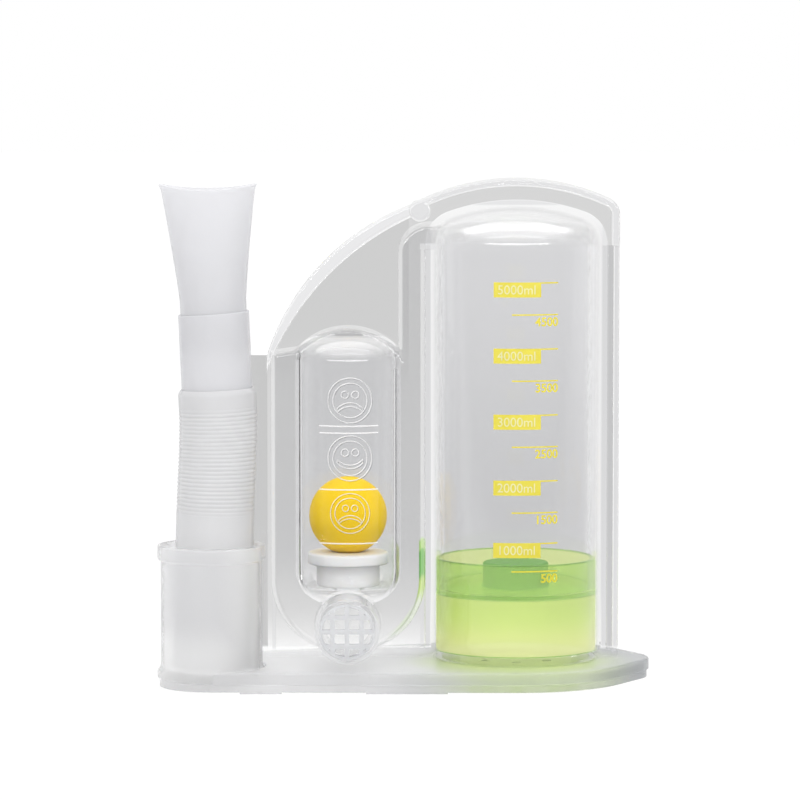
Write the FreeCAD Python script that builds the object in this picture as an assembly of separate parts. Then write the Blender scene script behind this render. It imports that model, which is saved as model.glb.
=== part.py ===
import FreeCAD, Part
import math
import os

# Incentive spirometer, millimetres. X runs to the right, Y to the back, Z up.
# The origin is under the middle of the object, on the surface it stands on.

# Layout: the base's greatest depth, and how far the uprights stand from each other
overall_depth = 84.0
cup_to_column = 47.05
column_to_chamber = 58.8

# Clearances
seat_gap = 0.3        # soft or moving pieces above their seats
plug_clearance = 0.05  # radial, between a plugged piece and its socket
slide_clearance = 0.05  # radial, between pieces that pull apart

# Base plate and deck
foot_height = 0.5
plate_thickness = 2.8
plate_inset = 0.7
plate_rounding = 0.6
deck_thickness = 4.1
deck_skin = 1.8
deck_wall = 1.8
deck_rounding = 0.9
tip_radius = 14.0
tip_reach = 4.85      # how far the tip goes beyond the round end under the chamber
rear_corner_radius = 12.0
rear_corner_right = 9.95  # from the cup's axis
rear_corner_back = 21.0
foot_pad_depth = 9.0
foot_pad_setback = 1.5
front_left_pad_right = 17.45  # from the cup's axis
front_left_pad_width = 14.4
front_middle_pad_right = 20.6  # from the column's axis
front_middle_pad_width = 28.0
rear_pad_width = 27.0
vent_radius = 1.8
vent_circle_radius = 15.0
vent_count = 8

# Storage cup for the parked hose
cup_y = -22.0
cup_radius = 17.6
cup_wall = 2.0
cup_flare_radius = 18.8
cup_flare_height = 3.4
cup_rim_radius = 18.7
cup_rim_height = 5.4
cup_top = 49.6
cup_floor = 2.3

# Volume chamber
chamber_bore_radius = 28.2
chamber_wall = 1.8
chamber_apex = 166.0
chamber_dome_radius = 69.0
chamber_shoulder_fillet = 10.0
bead_width = 2.0
bead_height = 4.0

# Flow column, the tube that the ball rises in
column_bore_radius = 16.6
column_wall = 1.8
column_length = 94.3
column_bottom = 26.0
column_top_fillet = 8.5
column_foot_fillet = 12.0
column_floor_rise = 6.7
column_floor_thickness = 1.5
column_floor_hole_radius = 6.0

# Air duct, a flat blister around the flow column that turns into the chamber
duct_half_width = 26.9
duct_wall = 1.8
duct_depth = 9.0
duct_bottom = 8.9
duct_arch_headroom = 3.9
duct_arch_rise = 7.4
duct_shoulder_drop = 1.3  # below the arch's foot
duct_edge_fillet = 2.5
riser_width = 9.4
riser_top_drop = 5.6      # below the chamber's apex
riser_bend_radius = 10.6
window_height = 4.0

# Flange plates of the two shells
flange_thickness = 1.3
flange_left_margin = 1.5   # beyond the duct
flange_right_margin = 6.0  # beyond the chamber
rear_strip_width = 9.3
rim_height = 3.2
rim_rounding = 1.1
side_rim_width = 2.2
side_rim_height = 2.5
hood_rim_width = 3.0
hood_rim_height = 6.0
hood_rise = 9.6            # above the chamber's apex
hood_radius = 78.0
hood_left_margin = 7.5     # beyond the chamber
hood_knob_radius = 3.85
hood_corner_radius = 6.0
hood_tail_drop = 14.0      # below the chamber's apex
sail_drop = 54.0
sail_head_drop = 8.1       # below the hood's apex
sail_bow = 9.1
sail_band_foot_width = 5.8
sail_band_head_width = 4.4
sail_band_bow = 8.0
pedestal_rib_thickness = 1.2
pedestal_rib_depth = 6.0
pedestal_rib_top = 33.0

# Piston
piston_radius = 27.9
piston_wall = 1.4
piston_skirt_height = 21.3
piston_rim_height = 10.9
piston_boss_radius = 11.5
piston_boss_height = 9.1
stop_ring_height = 2.9
stop_ring_width = 2.2

# Flow ball and its seat
ball_radius = 13.65
seat_height = 11.9
seat_flange_radius = 14.2
seat_flange_height = 4.2
seat_stem_radius = 11.1
seat_bore_radius = 4.0
seat_cup_radius = 5.6

# Hose port on the front
port_z = 21.1
port_radius = 11.2
port_wall = 1.5
port_front = 38.0
port_boss_front = 20.0
port_shoulder = 0.6
port_spigot_length = 5.0
grille_thickness = 1.6
grille_pitch = 5.0
grille_bar = 1.6
grille_rim = 0.9

# Hose
hose_radius = 13.5
hose_bore_radius = 11.25
hose_lean = 1.5
lower_cuff_top = 60.6
bellows_length = 36.8
bellows_ribs = 26
bellows_wall = 0.7
bellows_rib_height = 0.6
upper_cuff_length = 6.4
upper_cuff_chamfer = 0.9

# Sleeve and mouthpiece
sleeve_lean = -2.4
sleeve_radius = 12.25
sleeve_wall = 0.75
sleeve_showing = 27.5
sleeve_insertion = 5.0
sleeve_rim_cut = 3.0
mouthpiece_wall = 1.3
mouthpiece_insertion = 14.0
mouthpiece_showing = 42.7
mouthpiece_straight = 3.0
mouth_half_width = 16.4
mouth_half_depth = 9.0
mouth_dip = 1.5
mouth_steps = 8

# Worked out from the sizes above
lobe_radius = overall_depth / 2
overall_width = cup_flare_radius + cup_to_column + column_to_chamber + lobe_radius + tip_reach
plate_top = foot_height + plate_thickness
deck_top = plate_top + deck_thickness
cup_x = cup_flare_radius - overall_width / 2
column_x = cup_x + cup_to_column
chamber_x = column_x + column_to_chamber
chamber_radius = chamber_bore_radius + chamber_wall
column_radius = column_bore_radius + column_wall
tip_x = overall_width / 2 - tip_radius
rear_corner_x = cup_x + rear_corner_right
rear_corner_y = cup_y + rear_corner_back
duct_right = column_x + duct_half_width
flange_left = column_x - duct_half_width - flange_left_margin
flange_right = chamber_x + chamber_radius + flange_right_margin
rear_strip_left = flange_left - rear_strip_width
hood_left = chamber_x - chamber_radius - hood_left_margin
hood_apex = chamber_apex + hood_rise
hood_tail_bottom = chamber_apex - hood_tail_drop
sail_head = hood_apex - sail_head_drop
sail_foot = sail_head - sail_drop
riser_top = chamber_apex - riser_top_drop
column_top = column_bottom + column_length
column_floor_top = column_bottom + column_floor_rise
duct_arch_top = column_top + duct_arch_headroom
duct_shoulder_z = duct_arch_top - duct_arch_rise - duct_shoulder_drop
port_bore_radius = port_radius - port_wall
hose_foot_z = plate_top + cup_floor + seat_gap + hose_radius * math.sin(math.radians(hose_lean))
mouthpiece_radius = sleeve_radius - sleeve_wall - slide_clearance
big = 400.0


def vec(x, y, z):
    return FreeCAD.Vector(x, y, z)


def export(node, shape):
    shape.exportStep("parts/" + node + ".step")


def joined(shapes):
    """One solid from overlapping or touching solids, with split faces merged."""
    return shapes[0].multiFuse(shapes[1:]).removeSplitter()


def cylinder(radius, x, y, z0, z1):
    return Part.makeCylinder(radius, z1 - z0, vec(x, y, z0))


def ring(outer, inner, x, y, z0, z1):
    return cylinder(outer, x, y, z0, z1).cut(cylinder(inner, x, y, z0 - 1, z1 + 1))


def disc_along_y(radius, x, z, y0, y1):
    return Part.makeCylinder(radius, y1 - y0, vec(x, y0, z), vec(0, 1, 0))


def box(x0, x1, y0, y1, z0, z1):
    return Part.makeBox(x1 - x0, y1 - y0, z1 - z0, vec(x0, y0, z0))


def turned(profile, x, y):
    """Solid of revolution about a vertical axis, from (radius, z) points."""
    points = [vec(x + r, y, z) for r, z in profile]
    face = Part.Face(Part.makePolygon(points + points[:1]))
    return face.revolve(vec(x, y, 0), vec(0, 0, 1), 360)


def slab(edges, y0, y1):
    """Plate between y0 and y1 from edges drawn in the plane Y = 0."""
    face = Part.Face(Part.Wire(Part.__sortEdges__(edges)))
    face.translate(vec(0, y0, 0))
    return face.extrude(vec(0, y1 - y0, 0))


def line(x0, z0, x1, z1):
    return Part.LineSegment(vec(x0, 0, z0), vec(x1, 0, z1)).toShape()


def arc(x0, z0, xm, zm, x1, z1):
    return Part.Arc(vec(x0, 0, z0), vec(xm, 0, zm), vec(x1, 0, z1)).toShape()


def arc_about(cx, cz, radius, start, end):
    """Arc in the plane Y = 0 between two angles in degrees."""
    def at(angle):
        return (cx + radius * math.cos(math.radians(angle)),
                cz + radius * math.sin(math.radians(angle)))
    return arc(*at(start), *at((start + end) / 2), *at(end))


def belt(circles, shrink, z0, z1, rounding=0):
    """Plate with the outline of a belt pulled tight, anticlockwise, round circles (x, y, r)."""
    tangents = []
    for (x0, y0, r0), (x1, y1, r1) in zip(circles, circles[1:] + circles[:1]):
        along = math.atan2(y1 - y0, x1 - x0)
        normal = along - math.acos((r0 - r1) / math.hypot(x1 - x0, y1 - y0))
        n = vec(math.cos(normal), math.sin(normal), 0)
        tangents.append((vec(x0, y0, 0) + n * (r0 - shrink), vec(x1, y1, 0) + n * (r1 - shrink)))
    edges = []
    for i, (x, y, r) in enumerate(circles):
        enter = tangents[i - 1][1]
        leave = tangents[i][0]
        center = vec(x, y, 0)
        a0 = math.atan2(enter.y - y, enter.x - x)
        a1 = math.atan2(leave.y - y, leave.x - x)
        while a1 < a0:
            a1 += 2 * math.pi
        mid = center + vec(math.cos((a0 + a1) / 2), math.sin((a0 + a1) / 2), 0) * (r - shrink)
        edges.append(Part.Arc(enter, mid, leave).toShape())
        edges.append(Part.LineSegment(*tangents[i]).toShape())
    face = Part.Face(Part.Wire(edges))
    face.translate(vec(0, 0, z0))
    body = face.extrude(vec(0, 0, z1 - z0))
    if rounding:
        body = body.makeFillet(rounding, flat_rims(body, z1))
    return body


def base_circles():
    return [
        (cup_x, cup_y, cup_flare_radius),
        (chamber_x, 0, lobe_radius),
        (tip_x, 0, tip_radius),
        (chamber_x, 0, lobe_radius),
        (rear_corner_x, rear_corner_y, rear_corner_radius),
    ]


def vents(z0, z1):
    """Air holes under the piston, on one circle."""
    holes = []
    for i in range(vent_count):
        turn = 2 * math.pi * i / vent_count
        x = chamber_x + vent_circle_radius * math.cos(turn)
        y = vent_circle_radius * math.sin(turn)
        holes.append(cylinder(vent_radius, x, y, z0, z1))
    return Part.makeCompound(holes)


def foot_pad(x, width, y0):
    """Low pad under the plate, which the object stands on."""
    return box(x - width / 2, x + width / 2, y0, y0 + foot_pad_depth, 0, foot_height)


def base_plate():
    plate = belt(base_circles(), plate_inset, foot_height, plate_top, plate_rounding)
    front = foot_pad_setback - lobe_radius
    back = lobe_radius - foot_pad_setback - foot_pad_depth
    pads = [
        foot_pad(cup_x + front_left_pad_right, front_left_pad_width, front),
        foot_pad(column_x + front_middle_pad_right, front_middle_pad_width, front),
        foot_pad(chamber_x, rear_pad_width, back),
        foot_pad(rear_corner_x, rear_corner_radius, rear_corner_y),
    ]
    return joined([plate] + pads).cut(vents(-1, deck_top + 1))


def stop_ring():
    """Ring that centres the chamber on the deck and stops the piston."""
    outer = chamber_bore_radius - plug_clearance
    return ring(outer, outer - stop_ring_width, chamber_x, 0,
                deck_top - deck_skin, deck_top + stop_ring_height)


def base_deck():
    deck = belt(base_circles(), 0, plate_top, deck_top, deck_rounding)
    hollow = belt(base_circles(), deck_wall, plate_top - 1, deck_top - deck_skin)
    keep = cylinder(cup_flare_radius + plug_clearance + deck_wall, cup_x, cup_y, 0, deck_top)
    deck = deck.cut(hollow.cut(keep))
    socket = cylinder(cup_flare_radius + plug_clearance, cup_x, cup_y, 0, deck_top + 1)
    return joined([deck, stop_ring()]).cut(socket).cut(vents(0, deck_top + 1))


def storage_cup():
    inner = cup_radius - cup_wall
    floor_top = plate_top + cup_floor
    flare_top = plate_top + cup_flare_height
    return turned([
        (0, plate_top), (cup_flare_radius, plate_top), (cup_flare_radius, flare_top - 1),
        (cup_radius, flare_top + 1), (cup_radius, cup_top - cup_rim_height),
        (cup_rim_radius, cup_top - cup_rim_height + 0.6), (cup_rim_radius, cup_top - 0.6),
        (cup_rim_radius - 0.6, cup_top), (inner + 0.6, cup_top), (inner, cup_top - 0.6),
        (inner, floor_top + 2), (inner - 2, floor_top), (0, floor_top),
    ], cup_x, cup_y)


def flat_rims(body, z):
    """The round edges of a turned body that lie at one height."""
    return [e for e in body.Edges
            if abs(e.BoundBox.ZMin - z) < 0.01 and abs(e.BoundBox.ZMax - z) < 0.01]


def chamber_form(grow):
    """Solid form of the volume chamber, grown outwards from its bore."""
    radius = chamber_bore_radius + grow
    apex = chamber_apex - chamber_wall + grow
    dome = chamber_dome_radius - chamber_wall + grow
    shoulder = apex - dome + math.sqrt(dome ** 2 - radius ** 2)
    low = deck_top
    edges = [
        line(0, low, radius, low), line(radius, low, radius, shoulder),
        arc(radius, shoulder, dome * math.sin(math.asin(radius / dome) / 2),
            apex - dome + dome * math.cos(math.asin(radius / dome) / 2), 0, apex),
        line(0, apex, 0, low),
    ]
    face = Part.Face(Part.Wire(Part.__sortEdges__(edges)))
    body = face.revolve(vec(0, 0, 0), vec(0, 0, 1), 360)
    fillet = chamber_shoulder_fillet - chamber_wall + grow
    body = body.makeFillet(fillet, flat_rims(body, shoulder))
    body.translate(vec(chamber_x, 0, 0))
    return body


def duct_edges(grow):
    """Outline of the duct: a U round the column, an arched top and a riser to the chamber."""
    half = duct_half_width - duct_wall + grow
    center_z = duct_bottom + duct_half_width
    left = column_x - half
    right = column_x + half
    shoulder = duct_shoulder_z - duct_wall + grow
    arch = duct_arch_top - duct_wall + grow
    arch_foot = arch - duct_arch_rise
    riser_left = duct_right - riser_width + duct_wall - grow
    arch_left = 2 * column_x - riser_left
    top = riser_top - duct_wall + grow
    bend = riser_bend_radius - duct_wall + grow
    reach = chamber_x - chamber_bore_radius + 4
    turn = bend * (1 - math.sqrt(0.5))
    mouth_bottom = top - riser_width + 2 * (duct_wall - grow)
    return [
        arc_about(column_x, center_z, half, 180, 360),
        line(left, center_z, left, shoulder),
        line(left, shoulder, arch_left, arch_foot),
        arc(arch_left, arch_foot, column_x, arch, riser_left, arch_foot),
        line(riser_left, arch_foot, riser_left, top - bend),
        arc(riser_left, top - bend, riser_left + turn, top - turn, riser_left + bend, top),
        line(riser_left + bend, top, reach, top),
        line(reach, top, reach, mouth_bottom),
        line(reach, mouth_bottom, right, mouth_bottom),
        line(right, mouth_bottom, right, center_z),
    ]


def duct_form(grow, depth, rounded):
    """Solid form of the duct in front of the parting plane."""
    body = slab(duct_edges(grow), -depth, 0)
    if rounded:
        front = [e for e in body.Edges if abs(e.BoundBox.YMin + depth) < 0.01
                 and abs(e.BoundBox.YMax + depth) < 0.01
                 and e.BoundBox.XMin < chamber_x - chamber_radius - 3]
        body = body.makeFillet(rounded, front)
    return body


def chamber_bead(side):
    """Low bead round the chamber's side and top, on one side of the parting plane."""
    edge = side * bead_height
    around = box(-big, big, min(edge, 0), max(edge, 0), 0, big)
    return chamber_form(chamber_wall + bead_width).common(around)


def hood_top(x, shrink=0):
    """Height of the hood's arched edge."""
    radius = hood_radius - shrink
    return hood_apex - hood_radius + math.sqrt(radius ** 2 - (x - chamber_x) ** 2)


def hood_slab(shrink, y0, y1):
    """Arched top with rounded corners, down to its tail."""
    left = hood_left + shrink
    right = flange_right - shrink
    body = slab([
        line(left, hood_tail_bottom, left, hood_top(left, shrink)),
        arc(left, hood_top(left, shrink), chamber_x, hood_top(chamber_x, shrink),
            right, hood_top(right, shrink)),
        line(right, hood_top(right, shrink), right, hood_tail_bottom),
        line(right, hood_tail_bottom, left, hood_tail_bottom),
    ], y0, y1)
    corners = [e for e in body.Edges
               if e.BoundBox.YLength > (y1 - y0) / 2 and e.BoundBox.XLength < 0.01
               and e.BoundBox.ZLength < 0.01 and e.BoundBox.ZMin > hood_tail_bottom + 1]
    return body.makeFillet(hood_corner_radius - shrink, corners)


def bowed(x0, z0, x1, z1, bow):
    """Arc between two points that bulges to the upper left by bow."""
    length = math.hypot(x1 - x0, z1 - z0)
    xm = (x0 + x1) / 2 - bow * (z1 - z0) / length
    zm = (z0 + z1) / 2 + bow * (x1 - x0) / length
    return arc(x0, z0, xm, zm, x1, z1)


def flange_plate(y0, y1, left):
    """Flat plate that carries the shells: web, sail and hood in one outline."""
    sail_head_x = hood_left + hood_knob_radius
    sail = slab([
        line(flange_left, deck_top, flange_left, sail_foot),
        bowed(flange_left, sail_foot, sail_head_x, sail_head, sail_bow),
        line(sail_head_x, sail_head, sail_head_x, deck_top),
        line(sail_head_x, deck_top, flange_left, deck_top),
    ], y0, y1)
    web = box(sail_head_x - 1, flange_right, y0, y1, deck_top, hood_tail_bottom)
    hood = hood_slab(0, y0, y1)
    pieces = [sail, web, hood]
    if left < flange_left:
        pieces.append(box(left, flange_left + 1, y0, y1, deck_top, sail_foot))
    return joined(pieces)


def rounded_front(body, y):
    """Body with the edges of its flat face at y rounded."""
    edges = [e for e in body.Edges
             if abs(e.BoundBox.YMin - y) < 0.01 and abs(e.BoundBox.YMax - y) < 0.01
             and abs(e.BoundBox.ZMax - hood_tail_bottom) > 0.01]
    return body.makeFillet(rim_rounding, edges)


def hood_rim(side):
    """Raised band along the hood's edge, which starts in a round knob on the left."""
    front = side * hood_rim_height
    y0 = min(front, 0)
    y1 = max(front, 0)
    knob_x = hood_left + hood_knob_radius
    knob_z = hood_top(knob_x) - hood_knob_radius
    outer = hood_slab(0, y0, y1)
    inner = hood_slab(hood_rim_width, y0 - 1, y1 + 1)
    left_leg = box(hood_left - 1, knob_x, y0 - 1, y1 + 1, 0, knob_z)
    band = rounded_front(outer.cut(inner), front).cut(left_leg)
    knob = rounded_front(disc_along_y(hood_knob_radius, knob_x, knob_z, y0, y1), front)
    return joined([band, knob])


def side_rim(side):
    """Low rounded band along the right edge of the web, below the hood."""
    front = side * side_rim_height
    band = box(flange_right - side_rim_width, flange_right, min(front, 0), max(front, 0),
               deck_top, hood_tail_bottom)
    edges = [e for e in band.Edges
             if e.BoundBox.ZLength > 1 and abs(e.BoundBox.YMin - front) < 0.01]
    return band.makeFillet(rim_rounding * 0.8, edges)


def sail_rim(side):
    """Raised band along the sail's edge, widest in the middle."""
    x0 = flange_left
    x1 = hood_left + hood_knob_radius
    low_foot = sail_foot - sail_band_foot_width
    low_head = sail_head - sail_band_head_width
    front = side * rim_height
    band = slab([
        bowed(x0, sail_foot, x1, sail_head, sail_bow),
        line(x1, sail_head, x1, low_head),
        bowed(x0, low_foot, x1, low_head, sail_band_bow),
        line(x0, low_foot, x0, sail_foot),
    ], min(front, 0), max(front, 0))
    return rounded_front(band, front)


def column_form(grow):
    """Solid form of the flow column, grown outwards from its bore."""
    inset = column_wall - grow
    low = column_bottom + inset
    high = column_top - inset
    body = cylinder(column_bore_radius + grow, column_x, 0, low, high)
    body = body.makeFillet(column_top_fillet - inset, flat_rims(body, high))
    return body.makeFillet(column_foot_fillet - inset, flat_rims(body, low))


def port_boss():
    """Round boss at the foot of the duct that holds the hose port."""
    return disc_along_y(port_radius + port_shoulder, column_x, port_z,
                        -port_boss_front, -duct_depth + duct_wall)


def column_window():
    """Opening at the top of the column, through which air leaves for the duct."""
    top = duct_arch_top - duct_arch_rise - 2 * duct_wall
    return box(column_x, column_x + column_radius, duct_wall - duct_depth, 0,
               top - window_height, top)


def shell_walls():
    """Everything solid in the two shells, before they are parted at Y = 0."""
    solid = joined([
        chamber_form(chamber_wall), column_form(column_wall),
        duct_form(duct_wall, duct_depth, duct_edge_fillet), port_boss(),
    ])
    return solid


def air_spaces():
    """Everything hollow inside the two shells."""
    duct = duct_form(0, duct_depth - duct_wall, 0).cut(column_form(column_wall))
    below = box(-big, big, -big, big, 0, column_floor_top - column_floor_thickness)
    above = box(-big, big, -big, big, column_floor_top, big)
    column = column_form(0).common(joined([above, below]))
    hole = cylinder(column_floor_hole_radius, column_x, 0, column_bottom + column_wall,
                    column_floor_top + 1)
    port = disc_along_y(port_bore_radius + plug_clearance, column_x, port_z,
                        -port_front - 1, -duct_wall)
    port = port.common(box(-big, big, -big, big, 0, column_floor_top - column_floor_thickness))
    return joined([chamber_form(0), duct, column, hole, port, column_window()])


def pedestal_ribs():
    """Two upright ribs on the front, from the deck to the duct's round bottom."""
    ribs = []
    for x in (column_x - duct_half_width + 1, column_x + duct_half_width - 1):
        ribs.append(box(x - pedestal_rib_thickness / 2, x + pedestal_rib_thickness / 2,
                        -pedestal_rib_depth, 0, deck_top, pedestal_rib_top))
    return ribs


def shells():
    """Front and rear clear shells, which meet at the plane Y = 0."""
    walls = shell_walls()
    air = air_spaces()
    front_half = box(-big, big, -big, 0, 0, big)
    rear_half = box(-big, big, 0, big, 0, big)
    front = joined([
        walls.common(front_half), flange_plate(-flange_thickness, 0, flange_left),
        chamber_bead(-1), hood_rim(-1), sail_rim(-1), side_rim(-1),
    ] + pedestal_ribs()).cut(air)
    rear = joined([
        walls.common(rear_half), flange_plate(0, flange_thickness, rear_strip_left),
        chamber_bead(1), hood_rim(1), sail_rim(1), side_rim(1),
    ]).cut(air)
    return front, rear


def piston():
    z0 = deck_top + stop_ring_height + seat_gap
    floor_top = z0 + piston_skirt_height
    rim_top = floor_top + piston_rim_height
    boss_top = floor_top + piston_boss_height
    w = piston_wall
    r = piston_radius
    b = piston_boss_radius
    return turned([
        (0, boss_top - w), (b - w, boss_top - w), (b - w, floor_top - w), (r - w, floor_top - w),
        (r - w, z0), (r, z0), (r, rim_top), (r - w, rim_top), (r - w, floor_top),
        (b, floor_top), (b, boss_top - 0.6), (b - 0.6, boss_top), (0, boss_top),
    ], chamber_x, 0)


def ball_seat():
    z0 = column_floor_top
    top = z0 + seat_height
    flange = top - seat_flange_height
    body = turned([
        (seat_bore_radius, z0), (seat_stem_radius, z0), (seat_stem_radius, flange),
        (seat_flange_radius - 0.5, flange), (seat_flange_radius, flange + 0.5),
        (seat_flange_radius, top - 1.0), (seat_flange_radius - 1.0, top), (seat_bore_radius, top),
    ], column_x, 0)
    cup = Part.makeSphere(ball_radius + seat_gap, vec(column_x, 0, ball_z()))
    return body.cut(cup)


def ball_z():
    """Height of the resting ball's centre, in a cup of the depth that the seat has."""
    rise = math.sqrt((ball_radius + seat_gap) ** 2 - seat_cup_radius ** 2)
    return column_floor_top + seat_height + rise


def flow_ball():
    return Part.makeSphere(ball_radius, vec(column_x, 0, ball_z()))


def hose_port():
    """Tube that the hose pushes onto, plugged in the boss, with a seat for the grille."""
    spigot = port_bore_radius
    tube = disc_along_y(port_radius, column_x, port_z, -port_front, -port_boss_front)
    plug = disc_along_y(spigot, column_x, port_z, -port_boss_front,
                        -port_boss_front + port_spigot_length)
    bore = disc_along_y(spigot - port_wall, column_x, port_z, -port_front - 1, 0)
    seat = disc_along_y(port_bore_radius, column_x, port_z, -port_front - 1,
                        -port_front + grille_thickness)
    return joined([tube, plug]).cut(bore).cut(seat)


def port_grille():
    """Square mesh in a thin round rim."""
    y0 = -port_front
    y1 = y0 + grille_thickness
    outer = port_bore_radius - plug_clearance
    rim = disc_along_y(outer, column_x, port_z, y0, y1)
    rim = rim.cut(disc_along_y(outer - grille_rim, column_x, port_z, y0 - 1, y1 + 1))
    bars = []
    reach = int(outer / grille_pitch)
    for i in range(-reach, reach + 1):
        at = i * grille_pitch
        bars.append(box(column_x + at - grille_bar / 2, column_x + at + grille_bar / 2,
                        y0, y1, port_z - outer, port_z + outer))
        bars.append(box(column_x - outer, column_x + outer, y0, y1,
                        port_z + at - grille_bar / 2, port_z + at + grille_bar / 2))
    mesh = joined(bars).common(disc_along_y(outer - grille_rim / 2, column_x, port_z, y0, y1))
    return joined([rim, mesh])


def leaned(shape, angle, x, z):
    """Shape built upright on the axis X = x, turned about the point (x, z)."""
    shape.rotate(vec(x, cup_y, z), vec(0, 1, 0), angle)
    return shape


def hose_axis(z):
    """X of the leaning hose's axis at a height."""
    return cup_x + (z - hose_foot_z) * math.tan(math.radians(hose_lean))


def hose_lower_cuff():
    z0 = hose_foot_z
    length = (lower_cuff_top - z0) / math.cos(math.radians(hose_lean))
    tube = ring(hose_radius, hose_bore_radius, cup_x, cup_y, z0, z0 + length)
    tube = leaned(tube, hose_lean, cup_x, z0)
    return tube


def bellows_end():
    """Centre of the bellows' upper end."""
    turn = math.radians(hose_lean)
    foot = hose_axis(lower_cuff_top)
    return foot + bellows_length * math.sin(turn), lower_cuff_top + bellows_length * math.cos(turn)


def hose_bellows():
    """Thin bellows with V-shaped ribs, whose upper end is cut square to the upper cuff."""
    x0 = hose_axis(lower_cuff_top)
    z0 = lower_cuff_top
    pitch = bellows_length / bellows_ribs
    valley = hose_radius - bellows_rib_height
    profile = [(valley - bellows_wall, z0)]
    for i in range(bellows_ribs + 1):
        profile.append((valley, z0 + i * pitch))
        profile.append((hose_radius, z0 + (i + 0.5) * pitch))
    top = z0 + (bellows_ribs + 1) * pitch
    profile.append((valley, top))
    profile.append((valley - bellows_wall, top))
    body = leaned(turned(profile, x0, cup_y), hose_lean, x0, z0)
    end_x, end_z = bellows_end()
    above = box(end_x - 2 * hose_radius, end_x + 2 * hose_radius, cup_y - 2 * hose_radius,
                cup_y + 2 * hose_radius, end_z, end_z + 4 * hose_radius)
    return body.cut(leaned(above, sleeve_lean, end_x, end_z))


def top_axis_frame(shape):
    """Puts a piece that was built upright from the bellows' end onto the leaning top axis."""
    end_x, end_z = bellows_end()
    return leaned(shape, sleeve_lean, end_x, end_z)


def hose_upper_cuff():
    x, z = bellows_end()
    top = z + upper_cuff_length
    bore = sleeve_radius + slide_clearance
    cuff = turned([
        (bore, z + seat_gap), (hose_radius, z + seat_gap), (hose_radius, top - upper_cuff_chamfer),
        (hose_radius - upper_cuff_chamfer, top), (bore, top),
    ], x, cup_y)
    return top_axis_frame(cuff)


def mouthpiece_sleeve():
    """Thin sleeve between hose and mouthpiece, with its rim cut at a slant."""
    x, z = bellows_end()
    low = z + upper_cuff_length - sleeve_insertion
    high = z + upper_cuff_length + sleeve_showing
    tube = ring(sleeve_radius, sleeve_radius - sleeve_wall, x, cup_y, low, high)
    slope = math.degrees(math.atan(sleeve_rim_cut / (2 * sleeve_radius)))
    around = 2 * sleeve_radius
    above = box(x - around, x + around, cup_y - around, cup_y + around, high, high + around)
    above.rotate(vec(x + sleeve_radius, cup_y, high), vec(0, 1, 0), -slope)
    return top_axis_frame(tube.cut(above))


def ellipse_wire(x, z, half_width, half_depth):
    ellipse = Part.Ellipse(vec(x, cup_y, z), half_width, half_depth)
    return Part.Wire(ellipse.toShape())


def mouth_form(shrink, extra):
    """Round spigot that widens above the sleeve into a flattened, flared mouth."""
    x, z = bellows_end()
    high = z + upper_cuff_length + sleeve_showing
    flare_start = high + mouthpiece_straight
    flare_length = mouthpiece_showing - mouthpiece_straight
    round_radius = mouthpiece_radius - shrink
    wires = [ellipse_wire(x, high - mouthpiece_insertion - extra, round_radius + 0.002, round_radius)]
    for step in range(mouth_steps + 2):
        share = step / mouth_steps
        grown = share ** 1.15
        width = mouthpiece_radius + (mouth_half_width - mouthpiece_radius) * grown - shrink
        depth = mouthpiece_radius + (mouth_half_depth - mouthpiece_radius) * grown - shrink
        wires.append(ellipse_wire(x, flare_start + share * flare_length, width + 0.002, depth))
    return Part.makeLoft(wires, True, True)


def mouthpiece():
    x, z = bellows_end()
    top = z + upper_cuff_length + sleeve_showing + mouthpiece_showing
    body = mouth_form(0, 0).cut(mouth_form(mouthpiece_wall, 2))
    bow = (mouth_half_width ** 2 + mouth_dip ** 2) / (2 * mouth_dip)
    around = 2 * mouth_half_width
    above = disc_along_y(bow, x, top - mouth_dip + bow, cup_y - around, cup_y + around)
    sky = box(x - around, x + around, cup_y - around, cup_y + around, top, top + around)
    return top_axis_frame(body.cut(above).cut(sky))


def main():
    os.makedirs("parts", exist_ok=True)
    front_shell, rear_shell = shells()
    export("base_plate", base_plate())
    export("base_deck", base_deck())
    export("storage_cup", storage_cup())
    export("front_shell", front_shell)
    export("rear_shell", rear_shell)
    export("piston", piston())
    export("flow_ball", flow_ball())
    export("ball_seat", ball_seat())
    export("hose_port", hose_port())
    export("port_grille", port_grille())
    export("hose_lower_cuff", hose_lower_cuff())
    export("hose_bellows", hose_bellows())
    export("hose_upper_cuff", hose_upper_cuff())
    export("mouthpiece_sleeve", mouthpiece_sleeve())
    export("mouthpiece", mouthpiece())


main()
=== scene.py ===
import math

import bmesh
import bpy
from mathutils import Matrix, Vector

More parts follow.
